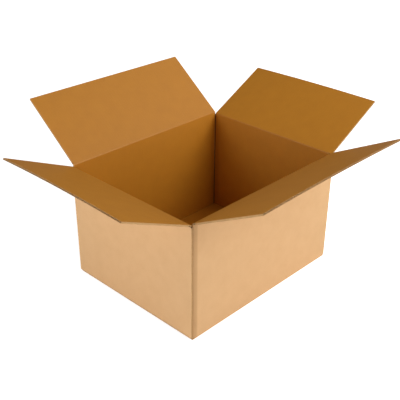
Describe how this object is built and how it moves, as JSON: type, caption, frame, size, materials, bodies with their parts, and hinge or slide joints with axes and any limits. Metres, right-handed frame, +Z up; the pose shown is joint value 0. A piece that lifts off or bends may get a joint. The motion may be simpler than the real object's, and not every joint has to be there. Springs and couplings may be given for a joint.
{
  "type": "open cardboard box",
  "caption": "Open corrugated shipping carton with a closed bottom, a glued corner joint and top flaps that fold out or shut.",
  "frame": {"origin": "centre of the base, on the surface that the carton stands on", "axes": "+Z up out of the open top, +X along the long walls towards the right end wall, +Y from the front long wall to the rear one"},
  "size_m": [0.8678, 0.7492, 0.4304],
  "materials": {
    "kraft_board": "matt unbleached kraft corrugated board, plain and unprinted"
  },
  "bodies": {
    "carton": {"carton_body": "kraft_board"},
    "front_flap": {"front_flap": "kraft_board"},
    "rear_flap": {"rear_flap": "kraft_board"},
    "left_end_flap": {"left_end_flap": "kraft_board"},
    "right_end_flap": {"right_end_flap": "kraft_board"}
  },
  "joints": [
    {"name": "front_crease", "type": "hinge", "parent": "carton", "child": "front_flap", "pos_m": [0, -0.20415, 0.30175], "axis": [-1, 0, 0], "range_deg": [-115.5, 152.5]},
    {"name": "rear_crease", "type": "hinge", "parent": "carton", "child": "rear_flap", "pos_m": [0, 0.20415, 0.30175], "axis": [1, 0, 0], "range_deg": [-126, 142]},
    {"name": "left_crease", "type": "hinge", "parent": "carton", "child": "left_end_flap", "pos_m": [-0.25415, 0, 0.29745], "axis": [0, 1, 0], "range_deg": [-112.5, 155.5]},
    {"name": "right_crease", "type": "hinge", "parent": "carton", "child": "right_end_flap", "pos_m": [0.25415, 0, 0.29745], "axis": [0, -1, 0], "range_deg": [-115.5, 152.5]}
  ]
}
